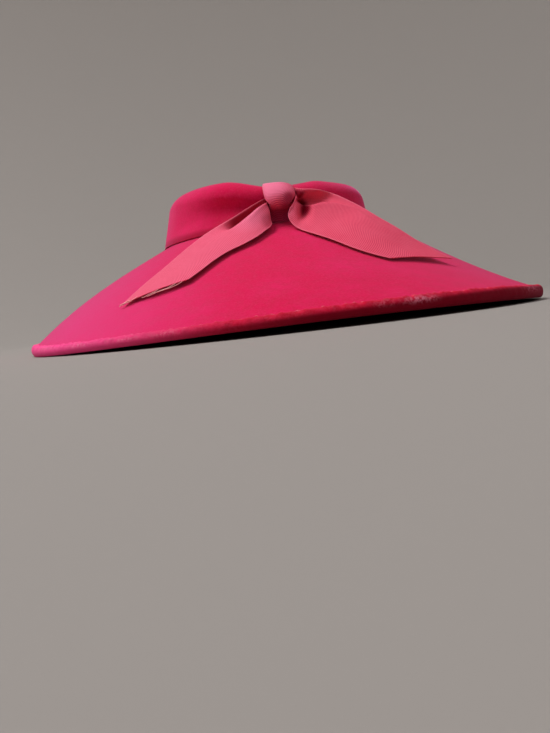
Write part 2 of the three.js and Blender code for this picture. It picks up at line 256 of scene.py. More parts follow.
def crown_point(angle, station):
    """The outer face: station 0 is the foot, 1 the wall's top, 2 the edge's inner end, 3 the middle."""
    angle, station = np.broadcast_arrays(angle, station)
    foot = foot_point(angle)
    straight = straight_wall_height(angle)
    lean = math.radians(CROWN.lean)
    radius = edge_radius(angle)
    wall = np.minimum(station, 1)
    turn = mix(lean, math.radians(90), np.clip(station - 1, 0, 1))
    toward_middle = np.clip(station - 2, 0, 1)
    rise = straight * wall + radius * (np.sin(turn) - math.sin(lean))
    wall_height = straight + radius * (1 - math.sin(lean))
    hollow = np.sin(math.pi * np.clip(rise / wall_height, 0, 1) ** WAIST.low) ** 2
    hollow = hollow * WAIST.depth * swell(angle, WAIST)
    hollow = hollow + UNDER_LIP.depth * patch(angle, station, UNDER_LIP)
    left = LEFT_LEAN.amount * swell(angle, LEFT_LEAN)
    hollow = hollow + left * (wall - LEFT_LEAN.level) * (wall + toward_middle < 2)
    inward = straight * wall * math.tan(lean) + radius * (math.cos(lean) - np.cos(turn)) + hollow
    spread = 1 - toward_middle
    edge = foot[..., 2] + rise
    level = CROWN.height + CROWN.dome
    return xyz(
        FOOT.middle + (FOOT.half_width - inward) * spread * np.cos(np.radians(angle)),
        FOOT.set_back + (FOOT.half_depth - inward) * spread * np.sin(np.radians(angle)),
        np.where(toward_middle > 0, mix(edge, level, 1 - spread**2), edge),
    )


def inside_crown(angle, station, depth):
    normal = normal_of(crown_point, angle, station)
    depth = np.broadcast_to(depth, normal.shape[:-1])
    return crown_point(angle, station) - normal * depth[..., None]


print("the crown's straight wall at the front:", round(float(straight_wall_height(FRONT)), 1), "mm")

# %% [markdown]
# ### Two felt shells
#
# Each shell has two faces the felt's thickness apart, joined at the edges. A Solidify modifier would do
# that, but the brim's inner edge also turns up inside the crown, so both faces are worked out. A very
# faint unevenness keeps the light from looking machine-made. A mask on the points paints shade into the
# felt: in the crease at the crown's foot and in the hollow beside the bow.

# %% Build the brim
BRIM_SEGMENTS = 480
BRIM_PLACES = 72
COLLAR_HEIGHT = 7
COLLAR_STEPS = 5
BRIM_UNEVEN = Sizes(depth=0.22, size=70, seed=3)
# Painted shade in the crease round the crown's foot, deepest under the bow's foot.
CREASE = Sizes(width=2.5, shade=0.2)
UNDER_BOW = Sizes(width=6, shade=1, angle=269, reach=9)


def around(segments):
    return (np.arange(segments) * 360 / segments)[:, None]


def build_brim():
    angle = around(BRIM_SEGMENTS)
    reach = np.linspace(1, 0, BRIM_PLACES)[None, :]
    face = brim_point(angle, reach)
    normal = brim_normal(angle, reach)
    uneven = BRIM_UNEVEN.depth * soft_waves(face, BRIM_UNEVEN.size, BRIM_UNEVEN.seed)
    face = face + normal * (4 * reach * (1 - reach) * uneven)[..., None]
    under = (face - normal * FELT)[:, ::-1]
    rise = brim_rise_at_foot(angle)
    straight = straight_wall_height(angle)
    outer_depth = FELT + GAP
    inner_depth = outer_depth + FELT
    outer_foot = outer_depth * rise / straight
    inner_foot = (inner_depth * rise - FELT * np.hypot(1, rise)) / straight
    top = outer_foot + COLLAR_HEIGHT / straight
    steps = np.linspace(0, 1, COLLAR_STEPS)[None, :]
    collar_out = inside_crown(angle, mix(outer_foot, top, steps), outer_depth)
    collar_in = inside_crown(angle, mix(top, inner_foot, steps), inner_depth)
    sections = np.concatenate([face, collar_out, collar_in, under], axis=1)
    made = ring_object("felt_brim", sections)
    from_foot = np.linalg.norm(face - foot_point(angle), axis=-1)
    under_bow = swell(angle, UNDER_BOW)
    near = 1 - ease(from_foot, 0, mix(CREASE.width, UNDER_BOW.width, under_bow))
    shade = np.zeros(sections.shape[:2])
    shade[:, :BRIM_PLACES] = near * mix(CREASE.shade, UNDER_BOW.shade, under_bow)
    set_mask(made, "kept_dye", shade)
    return made


brim = build_brim()

# %% Build the crown
CROWN_SEGMENTS = 480
LAST_STATION = 2.97
SEAM_GAP = 0.12
TUCK = Sizes(depth=0.2, height=0.09, lift=1.1)
SIDE_DENT = Sizes(depth=1.0, angle=213, reach=17, foot=(0.05, 0.5))
CROWN_UNEVEN = Sizes(depth=0.18, size=45, seed=8)
# Painted shade low on the wall by the seam, and in the hollow beside the bow.
CROWN_SEAM = Sizes(fades=(2.5, 7.5), shade=0.72)
HOLLOW_SHADE = Sizes(most=0.4, angle=243, reach=34, station=0.4, station_reach=0.5)


def stations(wall, edge, top, edge_start, top_start):
    """Stations up the wall, over the edge and in across the top, so many of each."""
    parts = [(0, 1, wall), (edge_start, 2, edge), (top_start, LAST_STATION, top)]
    return np.concatenate([np.linspace(*part) for part in parts])


OUTER_STATIONS = stations(26, 24, 24, edge_start=1.04, top_start=2.03)
INNER_STATIONS = stations(10, 10, 10, edge_start=1.1, top_start=2.1)


def seated(places, seat):
    """The stations on the wall, squeezed so that the first is at the seat."""
    places = places[None, :]
    return np.where(places < 1, mix(seat, 1, places), places + 0 * seat)


def domed_object(name, sections):
    """Sections from the middle of the inside to the middle of the outside, closed by two fans."""
    rows, columns = sections.shape[:2]
    top = crown_point(0.0, 3.0)
    points = np.concatenate([sections.reshape(-1, 3), [top - [0, 0, FELT]], [top]])
    faces = grid_faces(rows, columns, close_rows=True).tolist()
    inner_middle = rows * columns
    for row in range(rows):
        start, following = row * columns, (row + 1) % rows * columns
        faces.append([inner_middle, following, start])
        faces.append([inner_middle + 1, start + columns - 1, following + columns - 1])
    return mesh_object(name, points, faces)


def crown_shade(angle, station, over_foot):
    """How much painted shade the outer face has: at the seam and in the hollow beside the bow."""
    near_foot = 1 - ease(over_foot, *CROWN_SEAM.fades)
    hollow = patch(angle, station, HOLLOW_SHADE)
    return np.maximum(CROWN_SEAM.shade * near_foot, HOLLOW_SHADE.most * hollow)


def build_crown():
    angle = around(CROWN_SEGMENTS)
    straight = straight_wall_height(angle)
    rise = brim_rise_at_foot(angle)
    lean = math.sin(math.radians(CROWN.lean))
    clearance = SEAM_GAP * np.hypot(1, rise)
    seat = clearance / straight
    seat_inside = (clearance + FELT * (rise + lean)) / straight
    outer_at = seated(OUTER_STATIONS, seat)
    outer = crown_point(angle, outer_at)
    normal = normal_of(crown_point, angle, outer_at)
    tuck = TUCK.depth * (1 - ease(outer_at, 0, TUCK.height))
    dent = SIDE_DENT.depth * swell(angle, SIDE_DENT)
    dent = dent * ease(2 - outer_at, 0, 1) * ease(outer_at, *SIDE_DENT.foot)
    uneven = CROWN_UNEVEN.depth * soft_waves(outer, CROWN_UNEVEN.size, CROWN_UNEVEN.seed)
    outer = outer - normal * (tuck + dent - uneven)[..., None]
    outer[..., 2] += tuck * (rise + lean) * TUCK.lift
    inner = inside_crown(angle, seated(INNER_STATIONS, seat_inside), FELT)
    made = domed_object("felt_crown", np.concatenate([inner[:, ::-1], outer], axis=1))
    shade = crown_shade(angle, outer_at, (outer_at - seat) * straight)
    shade = np.concatenate([np.zeros(inner.shape[:2]), shade], axis=1)
    set_mask(made, "kept_dye", np.append(shade.ravel(), [0, 0]))
    return made


crown = build_crown()

# %% [markdown]
# ## The rolled rim
#
# A strip of felt is sewn round the brim's edge over a soft cord. Its section is an oval with a flat
# underside, where the hat stands, and a slot that takes the brim's edge. A bevelled curve would make an
# even tube, but sewing a straight strip round a curve gathers it, so small creases run across the roll
# and are deepest at the seam. They are made in the mesh, because they show along the outline. One mask
# marks where hands have rubbed the roll and also paints a highlight along the seam's edge. Another
# paints shade on the roll's underside.

# %% The roll's section
OUTER_ARC = 26
INNER_ARC = 8
GATHERS_START = 0.3


def turn_where_line_leaves(middle, half_height, start, direction):
    """Where a line in the section's plane leaves the oval, as a turn round the oval."""
    u = (start[0] - ROLL.radius) / ROLL.half_width
    v = (start[1] - middle) / half_height
    du, dv = direction[0] / ROLL.half_width, direction[1] / half_height
    a, b, c = du * du + dv * dv, u * du + v * dv, u * u + v * v - 1
    along = (-b + math.sqrt(b * b - a * c)) / a
    return math.atan2(v + dv * along, u + du * along)


def roll_section(angle, normal):
    """Points of one section as (radius, height, share of the gathers)."""
    tall = float(roll_height(angle))
    half_height = (tall + ROLL.flat) / 2
    middle = tall - half_height
    up = np.array([math.hypot(normal[0], normal[1]), normal[2]])
    inward = np.array([-up[1], up[0]])
    felt_top = np.array([RIM.radius, tall - RIM.inset])
    slot_top = felt_top + (up - inward) * GAP
    slot_under = felt_top - up * (FELT + GAP) - inward * GAP
    flat_turn = math.asin(-middle / half_height)
    upper = turn_where_line_leaves(middle, half_height, slot_top, inward)
    lower = turn_where_line_leaves(middle, half_height, slot_under, inward) % math.tau

    def on_oval(turns, share):
        across, high = ROLL.half_width * np.cos(turns), half_height * np.sin(turns)
        return xyz(ROLL.radius + across, middle + high, share)

    outer_turns = np.linspace(flat_turn, upper, OUTER_ARC)
    inner_turns = np.linspace(lower, math.pi - flat_turn, INNER_ARC)
    outer = on_oval(outer_turns, ease(outer_turns, flat_turn + GATHERS_START, upper))
    return np.concatenate([outer, [[*slot_top, 0], [*slot_under, 0]], on_oval(inner_turns, 0)])


# %% The roll's gathers and masks
GATHER = Sizes(depth=0.42, width=3.4, seed=21, coarse_depth=0.25, coarser=6, coarse_seed=5)
SEAM = Sizes(depth=0.5, reach=0.15, stitches=265, evenness=0.65, sink=0.6)
# A painted highlight along the seam's edge, in dashes that follow the stitches.
EDGE_GLINT = Sizes(strength=0.28, place=(0.94, 0.08), stitch=0.7)
WORN_LEVEL = (0.7, 0.2)
WORN = table("""
    angle reach strength
    206 16 0.35
    221 7 0.5
    232 6 0.45
    241 5 0.35
    278 3 0.35
    284.5 5 0.8
    319 9 0.5
""")
# Painted shade on the roll's underside, up to a height that changes round the hat.
SIDE_SHADE = Sizes(front=(0.42, 0.72), right=(0.76, 1.0), left=(0.05, 0.5), left_strength=0.1)
SIDE_FULL = Sizes(right=0.8, left=0.6)


def hump(value, centre, reach):
    """1 at the centre, falling off like a bell. Its pairs of sizes are a centre and a reach."""
    return np.exp(-(((value - centre) / reach) ** 2))


def gathers(spot, share, stitch):
    """How far the surface stands out, in mm."""
    fine = soft_waves(spot, GATHER.width, GATHER.seed)
    coarse = soft_waves(spot, GATHER.width * GATHER.coarser, GATHER.coarse_seed)
    pull = mix(fine, stitch, SEAM.evenness) - SEAM.sink
    depth = share * (GATHER.depth * fine + GATHER.coarse_depth * coarse)
    depth = depth + hump(share, 1, SEAM.reach) * SEAM.depth * pull
    return np.where(share > 0, depth, 0)


# Real wear in patches high on the roll, and a painted highlight along the seam's edge.
def roll_wear_and_glint(angles, share, level, stitch):
    edge = EDGE_GLINT.strength * hump(share, *EDGE_GLINT.place)
    worn = edge * (1 + EDGE_GLINT.stitch * stitch)
    for place in WORN:
        rubbed = place.strength * swell(angles, place) * hump(level, *WORN_LEVEL)
        worn = np.maximum(worn, rubbed)
    return np.where(share > 0, worn, 0)


def roll_shade(angles, level):
    """How much painted shade: below a height that is greatest at the right and least at the left."""
    across = np.cos(np.radians(angles))
    rightness = ease(across, 0, SIDE_FULL.right)
    leftness = ease(-across, 0, SIDE_FULL.left)
    sides = zip(SIDE_SHADE.front, SIDE_SHADE.right, SIDE_SHADE.left)
    low, high = (mix(mix(front, right, rightness), left, leftness) for front, right, left in sides)
    return mix(1, SIDE_SHADE.left_strength, leftness) * (1 - ease(level, low, high))


# %% Build the roll
ROLL_SEGMENTS = 1500
LIP = Sizes(clearance=0.08, share=0.5)


def lifted_off_brim(points, angles, normals, share):
    """The points with the lip raised where it would sink into the brim."""
    over_felt = ((points - brim_point(angles, 1.0)) * normals[:, None]).sum(axis=-1)
    lift = np.where(share > LIP.share, np.maximum(LIP.clearance - over_felt, 0), 0)
    return points + normals[:, None] * lift[..., None]


def build_roll():
    angles = around(ROLL_SEGMENTS)
    normals = brim_normal(angles, 1.0)[:, 0]
    sections = np.array([roll_section(float(a), n) for a, n in zip(angles[:, 0], normals)])
    radius, height, share = sections[..., 0], np.maximum(sections[..., 1], 0), sections[..., 2]
    level = sections[..., 1] / roll_height(angles)
    stitch = np.cos(np.radians(angles) * SEAM.stitches)
    depth = gathers(on_circle(angles, radius, height), share, stitch)
    middle_height = (roll_height(angles) + 0 * radius) / 2
    out = unit(np.stack([radius - ROLL.radius, height - middle_height], axis=-1))
    radius = radius + out[..., 0] * depth
    height = np.maximum(height + out[..., 1] * depth, 0) + rim_lift(angles)
    points = on_circle(angles, radius, height)
    made = ring_object("rolled_rim", lifted_off_brim(points, angles, normals, share))
    set_mask(made, "worn", roll_wear_and_glint(angles, share, level, stitch))
    set_mask(made, "kept_dye", roll_shade(angles, level))
    return made


rolled_rim = build_roll()

# %% [markdown]
# ## The ribbon bow
#
# The bow is three pieces of one grosgrain ribbon: a band over the crown's front edge, and two tails
# that come out from under it. Each is a grid of points given by a short table of rows along the ribbon,
# joined by a smooth curve. A cloth simulation would lose the crisp folds at the band, so those are in
# the tables. A row of the band gives its middle line, its two edges and how far they curl under. A row
# of a tail gives its front and back edge, how far the pleat and the belly beyond it stand proud, and
# how far across the pleat's ridge lies.

# %% The bow's rows
BAND_ROWS = table("""
    y z left right tuck
    -27 109.7 -9.4 5.6 0
    -37 108.9 -11 7 0.4
    -46 107.5 -12.6 8.2 1.4
    -54 105.3 -13.9 9 2.6
    -61 101.6 -14.4 8.8 4.4
    -66 96.6 -13.9 7.7 5.6
    -68 91.8 -12.7 6 5.6
    -67.3 88 -11.9 4.6 4.4
    -64 85.9 -11.5 3.9 3
    -60.4 84.4 -11.2 3.6 1.6
    -58.4 82 -10.9 3.6 0.8
    -57.8 79.4 -10.8 3.8 0.4
    -57.8 77 -10.6 4 0.3
""")
LEFT_TAIL = table("""
    front_x front_y front_z back_x back_y back_z fold belly ridge
    -4 -58.5 85.5 -4 -54.5 97 2 0 0.6
    -13.2 -60.2 83 -13.5 -55 95.5 3 0 0.56
    -12.4 -69.5 74.6 -26 -54 91 6 0 0.5
    -18.9 -75.6 69.7 -38.4 -50 85.6 4 0.5 0.42
    -26.6 -83 65.3 -49.8 -49.5 79.6 1.5 2 0.46
    -37.3 -89.1 60.6 -61.7 -57.6 72.4 0.3 2 0.56
    -47.9 -94.3 56.6 -75.7 -68.6 62.8 0 2 0.6
    -58.2 -102.7 51.2 -91 -81.4 51.4 0 2 0.6
    -67.4 -111 45.4 -106.4 -93.7 40.3 0 1.5 0.6
    -76.6 -119 39.8 -120.4 -110.5 28.8 0 1 0.6
""")
RIGHT_TAIL = table("""
    front_x front_y front_z back_x back_y back_z fold belly ridge
    -2.8 -58.5 87 -2.8 -54 97 2 0 0.6
    8.5 -58.6 89.5 7.5 -54 101.4 1.5 0 0.5
    3.5 -69 85.5 15 -57 99.3 2.5 0 0.4
    -0.3 -71 79.5 22 -58 98.4 3 0 0.36
    1.5 -74 73 30 -61 96.2 3.2 0 0.38
    6 -80 67.8 38 -65 91.9 2.6 0.5 0.66
    13.5 -91.5 62.6 51 -75 81 0.7 1 0.84
    22 -102.3 57 59.6 -87 71 0.3 2 0.8
    32.7 -116.2 48.9 70.9 -96.2 60.3 0 2 0.7
    42.1 -124.8 43.3 84.2 -105.5 47.3 0 1.5 0.6
    52.2 -131.4 38.7 100.2 -115.3 34.9 0 1 0.6
""")
PLEAT = table("""
    along fold belly
    0 0 0
    0.2 0.35 0.6
    0.42 0.75 1
    0.6 1 0.9
    0.74 -0.35 0.65
    0.88 -0.3 0.35
    1 0 0
""")
PLEAT_RIDGE = 0.6
print("rows along the band and the tails:", len(BAND_ROWS), len(LEFT_TAIL), len(RIGHT_TAIL))

# %% [markdown]
# ### Hand-made bends
#
# Tying and years of wear have pushed the real ribbon in here and pulled it over there. Each row below
# is one such push: its place on the ribbon, how far it reaches each way, and its move. Sculpt brushes
# would do as well, but a row can be read and changed. A push's `deep` number gives painted shade in a
# fold, or below 0 a painted highlight.

# %% The pushes
# The last column paints shade into a fold, or with a number below 0 a highlight.
LEFT_PUSHES = table("""
    row share slant before after below above x y z deep
    2.5 0.78 0.02 1.5 1.3 0.16 0.18 -1 2.6 -6.9 1
    3 0.45 0 1.1 1 0.22 0.16 0 -2.4 2.3 0
    1.2 0.5 0 0.5 0.7 0.2 0.2 1 0 1 0
    3.2 0 0 1.8 1.8 0.3 0.35 -0.3 -2.2 -0.3 0
    6.5 0 0 4 5 0.3 0.4 -0.15 -3 -0.2 0
    2.2 0.12 0 0.7 0.6 0.2 0.16 0 0 0 0.4
    2.4 1 0 1.2 1.4 0.14 0.1 -0.6 -4 -0.5 0
    1.35 0.22 0 0.4 0.4 0.22 0.2 2.2 -0.8 0 0
    2.8 0.4 0 1.2 1.6 0.3 0.2 0 0 0 -0.9
    2.3 0.92 0 1.6 1.3 0.16 0.2 0 0 0 0.9
    0.5 0 0 0.5 0.4 0.2 0.22 0 2.4 0 0
    9 0.45 0 2 1 0.5 0.45 0 -5 -0.25 0
""")
RIGHT_PUSHES = table("""
    row share slant before after below above x y z deep
    4.2 0.35 -0.15 0.95 0.55 0.15 0.11 2.2 12 1.5 0
    4.15 0.39 -0.15 0.8 0.6 0.18 0.13 0 2 0 1
    3.7 0.72 0.12 1.8 1.3 0.2 0.2 0 6 -1 0.1
    1.8 0.75 0 0.8 0.8 0.25 0.2 0 0 0 1
    2.6 0.12 0 0.9 0.9 0.2 0.12 0 0 0 -0.8
    2.9 0.54 0 0.9 0.8 0.16 0.2 0.8 4.5 0.5 1
    3.3 1 0 1.4 1.3 0.12 0.1 -0.7 -3.6 -0.5 0
    1.1 1 0 0.6 0.5 0.2 0.2 0 1.8 -0.2 0
""")
BAND_PUSHES = table("""
    row share slant before after below above x y z deep
    7.4 0.74 0 2 2.4 0.3 0.4 0 3.4 0.6 0.5
    5.9 0.72 0 1.1 1.2 0.18 0.2 0 1.6 0 0.55
    3 0.9 0 2.2 1.6 0.22 0.3 0 0 -1.6 0
""")
print("pushes:", len(LEFT_PUSHES) + len(RIGHT_PUSHES) + len(BAND_PUSHES))

# %% [markdown]
# ### A ribbon of real thickness
#
# Grosgrain is a stiff ribbon with ribs across it and a thinner woven edge, the selvedge. Each ribbon is a
# grid with an upper and an under face, and its ribs are in the mesh, so that they break the light as
# real ones do. A UV map holds each point's place on the flat ribbon, so that the finish can follow it.

# %% Ribbon helpers
RIBBON = Sizes(width=42, thickness=0.6, rib_pitch=1.4, rib_height=0.06, rib_slant=0.85)
SELVEDGE = Sizes(width=(0.2, 1.6), thinner=0.6)
# How a push's painted shade grows towards its middle.
FOLD_SHADE = (0.1, 0.85)


def smooth_rows(rows, count):
    """Each named value as a smooth curve through the rows, sampled at `count` even places."""
    place = np.linspace(0, len(rows) - 1, count)
    index = np.minimum(place.astype(int), len(rows) - 2)
    t = place - index
    made = {}
    for name in vars(rows[0]):
        values = np.array([getattr(row, name) for row in rows])
        a, b, c, d = (values[np.clip(index + step, 0, len(rows) - 1)] for step in (-1, 0, 1, 2))
        made[name] = b + 0.5 * t * (c - a + t * (2 * a - 5 * b + 4 * c - d + t * (3 * (b - c) + d - a)))
    return Sizes(**made)


def pushed(points, row, share, pushes):
    """The grid with the pushes added, and how much painted shade and painted highlight each point has."""
    deep = np.zeros(points.shape[:2])
    pale = np.zeros(points.shape[:2])
    for push in pushes:
        off_row = row - push.row
        off_share = share - push.share - push.slant * off_row
        near = (off_row / np.where(off_row < 0, push.before, push.after)) ** 2
        near = near + (off_share / np.where(off_share < 0, push.below, push.above)) ** 2
        strength = np.exp(-near)
        points = points + strength[..., None] * np.array([push.x, push.y, push.z])
        deep = np.maximum(deep, push.deep * ease(strength, *FOLD_SHADE))
        pale = np.maximum(pale, -push.deep * strength)
    return points, deep, pale


def run_along(points):
    """How far along the ribbon each point of a grid lies, measured down its columns."""
    steps = np.linalg.norm(np.diff(points, axis=0), axis=-1)
    return np.concatenate([np.zeros((1, points.shape[1])), np.cumsum(steps, axis=0)])


def ribbon_object(name, points, along, across, deep, pale):
    """A ribbon of real thickness with ribs across it. Its UV map holds millimetres: across, along."""
    normal = unit(np.cross(np.gradient(points, axis=0), np.gradient(points, axis=1)))
    inset = np.minimum(across, across.max() - across)
    body = ease(inset, *SELVEDGE.width)
    ribs = RIBBON.rib_height * body * np.cos(math.tau * along / RIBBON.rib_pitch)
    outer = points + normal * ribs[..., None]
    under = points - normal * (RIBBON.thickness * mix(SELVEDGE.thinner, 1, body) + ribs)[..., None]
    rows, columns = points.shape[:2]
    count = rows * columns
    faces = [grid_faces(rows, columns), grid_faces(rows, columns, start=count)[:, ::-1]]
    grid = np.arange(count).reshape(rows, columns)
    rim = np.concatenate([grid[:, 0], grid[-1, 1:], grid[-2::-1, -1], grid[0, -2:0:-1]])
    following = np.roll(rim, -1)
    faces.append(np.stack([rim, rim + count, following + count, following], axis=-1))
    both_faces = np.concatenate([outer.reshape(-1, 3), under.reshape(-1, 3)])
    piece = mesh_object(name, both_faces, np.concatenate(faces))
    layer = piece.data.uv_layers.new(name="ribbon")
    corner = np.empty(len(piece.data.loops), dtype=np.int32)
    piece.data.loops.foreach_get("vertex_index", corner)
    flat = np.stack([across.ravel(), along.ravel()], axis=-1)
    layer.data.foreach_set("uv", flat[corner % count].astype(np.float32).ravel())
    # Painted shade and painted highlights, the same on both faces.
    set_mask(piece, "kept_dye", np.tile(deep.ravel(), 2))
    set_mask(piece, "bleached", np.tile(pale.ravel(), 2))
    return piece


# %% [markdown]
# ### The two tails
#
# Each tail is a flat ribbon, folded hard where it comes out from under the band and nearly flat at its
# slanting cut end. One section, the pleat, serves for both, and each row stretches it between its two
# edges. Away from the knot the ribs slant, because the ribbon is pulled round.

# %% Build the two tails
TAIL_STEPS = 560
TAIL_COLUMNS = 72
PLEAT_STEPS = 241
SLANTED_ROWS = (2, 7)
# Painted shade on each tail's end where it lies under the band.
HIDDEN_END = Sizes(rows=(1.6, 0.8), shade=0.8)
# Painted light: the ribbon is painted lighter towards the left.
LEFT_LIGHT = Sizes(across=(25, -25), most=0.25)


def tail_grid(rows, pushes):
    """A tail's points, with each one's run along the ribbon, place across it and two masks."""
    at = smooth_rows(rows, TAIL_STEPS)
    front = xyz(at.front_x, at.front_y, at.front_z)
    back = xyz(at.back_x, at.back_y, at.back_z)
    across = back - front
    proud = unit(xyz(0 * across[:, 0], -across[:, 2], np.hypot(across[:, 0], across[:, 1])))
    share = np.linspace(0, 1, TAIL_COLUMNS)[None, :]
    ridge = at.ridge[:, None]
    below = share / ridge * PLEAT_RIDGE
    above = 1 - (1 - share) / (1 - ridge) * (1 - PLEAT_RIDGE)
    place = np.where(share < ridge, below, above)
    curve = smooth_rows(PLEAT, PLEAT_STEPS)
    knots = np.array([row.along for row in PLEAT])
    position = np.interp(place, knots, np.linspace(0, 1, len(PLEAT)))
    even = np.linspace(0, 1, PLEAT_STEPS)
    fold = np.interp(position, even, curve.fold)
    belly = np.interp(position, even, curve.belly)
    lift = at.fold[:, None] * fold + at.belly[:, None] * belly
    points = front[:, None] + across[:, None] * share[..., None] + proud[:, None] * lift[..., None]
    row = np.linspace(0, len(rows) - 1, TAIL_STEPS)[:, None]
    across = share * RIBBON.width + 0 * row
    along = run_along(points) + RIBBON.rib_slant * across * ease(row, *SLANTED_ROWS)
    points, deep, pale = pushed(points, row, share, pushes)
    deep = np.maximum(deep, HIDDEN_END.shade * ease(row, *HIDDEN_END.rows))
    pale = np.maximum(pale, LEFT_LIGHT.most * ease(points[..., 0], *LEFT_LIGHT.across))
    return points, along, across, deep, pale


def build_tail(name, rows, pushes, mirrored):
    grids = tail_grid(rows, pushes)
    if mirrored:
        grids = [grid[:, ::-1] for grid in grids]
    return ribbon_object(name, *grids)


left_tail = build_tail("bow_tail_left", LEFT_TAIL, LEFT_PUSHES, mirrored=True)
right_tail = build_tail("bow_tail_right", RIGHT_TAIL, RIGHT_PUSHES, mirrored=False)

# %% [markdown]
# ### Frayed threads
#
# The left tail's cut end has lost a few threads, which lie loose along it. Each thread is a thin tube
# through a few listed points, given by how far along the cut they are, how far beyond it and how
# high over it. A curve with a bevel would do as well; tubes in one mesh export more simply.

# %% Fray the left tail's end
THREAD = Sizes(radius=0.22, steps=40, sides=6)
NEARLY_UP = (0.1, 0.2, 1)
CUT_ROWS = 12
LOOSE_THREADS = table("""
    thread share out up
    1 0.1 0.1 -0.3
    1 0.16 1.6 -1
    1 0.26 2.3 -1.3
    1 0.38 2.4 -1.2
    1 0.48 1.9 -1.2
    1 0.55 0.3 -0.6
    2 0.2 0.2 -0.3
    2 0.3 1.4 -1.1
    2 0.42 1.7 -1.1
    2 0.52 2.3 -1.3
    2 0.6 2.6 -1.3
    3 0.46 0.1 -0.3
    3 0.52 1.2 -0.8
    3 0.6 1.4 -0.9
    3 0.66 2 -1.1
    3 0.7 1.2 -0.9
    4 0.78 -0.4 0.2
    4 0.82 0.9 0.2
    4 0.88 1.6 -0.2
    4 0.94 1.1 -0.2
    4 0.99 1.9 -0.6
    5 0.84 1.8 -0.4
    5 0.88 0.6 0.2
    5 0.93 0.4 0.3
    5 0.99 0.9 0
    5 1.04 1.2 -0.8
    6 0.9 -0.3 0.3
    6 0.96 1.3 0.1
    6 1 0.4 0.2
    6 1.04 0.2 -0.2
""")


def tube(path):
    """Rings of points round a path."""
    run = unit(np.gradient(path, axis=0))
    side = unit(np.cross(run, NEARLY_UP))
    upward = np.cross(side, run)
    turns = np.linspace(0, math.tau, THREAD.sides, endpoint=False)[None, :, None]
    around_path = np.cos(turns) * side[:, None] + np.sin(turns) * upward[:, None]
    return path[:, None] + THREAD.radius * around_path


def fray(name, rows, pushes):
    """Loose threads beyond a tail's cut end, which faces the way its last rows of points run."""
    points = tail_grid(rows, pushes)[0]
    cut = points[-1]
    beyond = unit(cut - points[-CUT_ROWS])
    over = unit(np.cross(beyond, np.gradient(cut, axis=0)))
    over = over * np.sign(over[:, 2:])
    shares = np.linspace(0, 1, TAIL_COLUMNS)
    rings, faces = [], []
    for number in sorted({row.thread for row in LOOSE_THREADS}):
        at = smooth_rows([row for row in LOOSE_THREADS if row.thread == number], THREAD.steps)
        along_cut = [np.interp(at.share, shares, cut[:, axis]) for axis in range(3)]
        past_tip = np.maximum(at.share - 1, 0)[:, None] * (cut[-1] - cut[0])
        place = np.clip(np.round(at.share * (TAIL_COLUMNS - 1)).astype(int), 0, TAIL_COLUMNS - 1)
        path = np.stack(along_cut, axis=-1) + past_tip
        path = path + beyond[place] * at.out[:, None] + over[place] * at.up[:, None]
        start = sum(len(ring) for ring in rings)
        rings.append(tube(path).reshape(-1, 3))
        faces.append(grid_faces(THREAD.steps, THREAD.sides, start=start, close_columns=True))
    return mesh_object(name, np.concatenate(rings), np.concatenate(faces))


frayed_end = fray("frayed_threads", LEFT_TAIL, LEFT_PUSHES)

# %% [markdown]
# ### The band
#
# The band holds the bow. It is the same ribbon, gathered lengthwise to about half its width: it comes
# over the crown's front edge, arches out and is drawn in below. Its section is a rounded box, open
# underneath, because gathered ribbon turns down sharply at both edges, and its ribs bend there.

# %% Build the band
BAND_STEPS = 420
BAND_COLUMNS = 80
BAND = Sizes(squareness=2.5, turn_left=4.0, turn_right=11.0, folded_width=30)
# Painted shade on the band's lower part, under the knot.
BAND_SHADE = Sizes(rows=(6.6, 9.4), most=0.8)
# A painted highlight on the upper left of the knot.
KNOT_HIGHLIGHT = Sizes(rows=(6.6, 4.4), sides=(1.2, -0.2))


def build_band():
    at = smooth_rows(BAND_ROWS, BAND_STEPS)
    line = xyz(0, at.y, at.z)
    forward = unit(np.gradient(line, axis=0))
    share = np.linspace(0, 1, BAND_COLUMNS)[None, :]
    side = np.sin((share - 0.5) * math.pi)
    curl = 1 - (1 - np.abs(side) ** BAND.squareness) ** (1 / BAND.squareness)
    back = at.tuck[:, None] * curl
    points = xyz(
        mix(at.left[:, None], at.right[:, None], (side + 1) / 2),
        line[:, 1, None] - back * forward[:, 2, None],
        line[:, 2, None] + back * forward[:, 1, None],
    )
    row = np.linspace(0, len(BAND_ROWS) - 1, BAND_STEPS)[:, None]
    points, deep, pale = pushed(points, row, share, BAND_PUSHES)
    deep = np.maximum(deep, BAND_SHADE.most * ease(row, *BAND_SHADE.rows))
    middle = run_along(points)[:, BAND_COLUMNS // 2, None]
    along = middle + np.where(side < 0, BAND.turn_left, BAND.turn_right) * side**2
    pale = ease(row, *KNOT_HIGHLIGHT.rows) * ease(side, *KNOT_HIGHLIGHT.sides)
    across = share * BAND.folded_width + 0 * row
    return ribbon_object("bow_band", points, along, across, deep, pale)


band = build_band()

# %% [markdown]
# ## Finishes
#
# The hat has felt in two states, brushed and worn, ribbon in two, loose and drawn tight, and a few loose
# threads. Finishes of one kind share a node group with inputs for their own colours, so that a change
# in the nap or the weave reaches every piece. Painted textures would not follow a changed shape.

# %% Node helpers
def linear(red, green, blue):
    """A screen colour from 0 to 255 as the linear colour that Blender works in, by the sRGB curve."""
    made = []
    for value in (red, green, blue):
        share = value / 255
        made.append(share / 12.92 if share <= 0.04045 else ((share + 0.055) / 1.055) ** 2.4)
    return (*made, 1.0)


def put_in(tree, socket, value):
    """Give a socket a value, or a link where the value is another node's output."""
    if isinstance(value, bpy.types.NodeSocket):
        tree.links.new(value, socket)
    else:
        socket.default_value = value


def fill(tree, node, **values):
    for name, value in values.items():
        put_in(tree, node.inputs[name.replace("_", " ")], value)
    return node


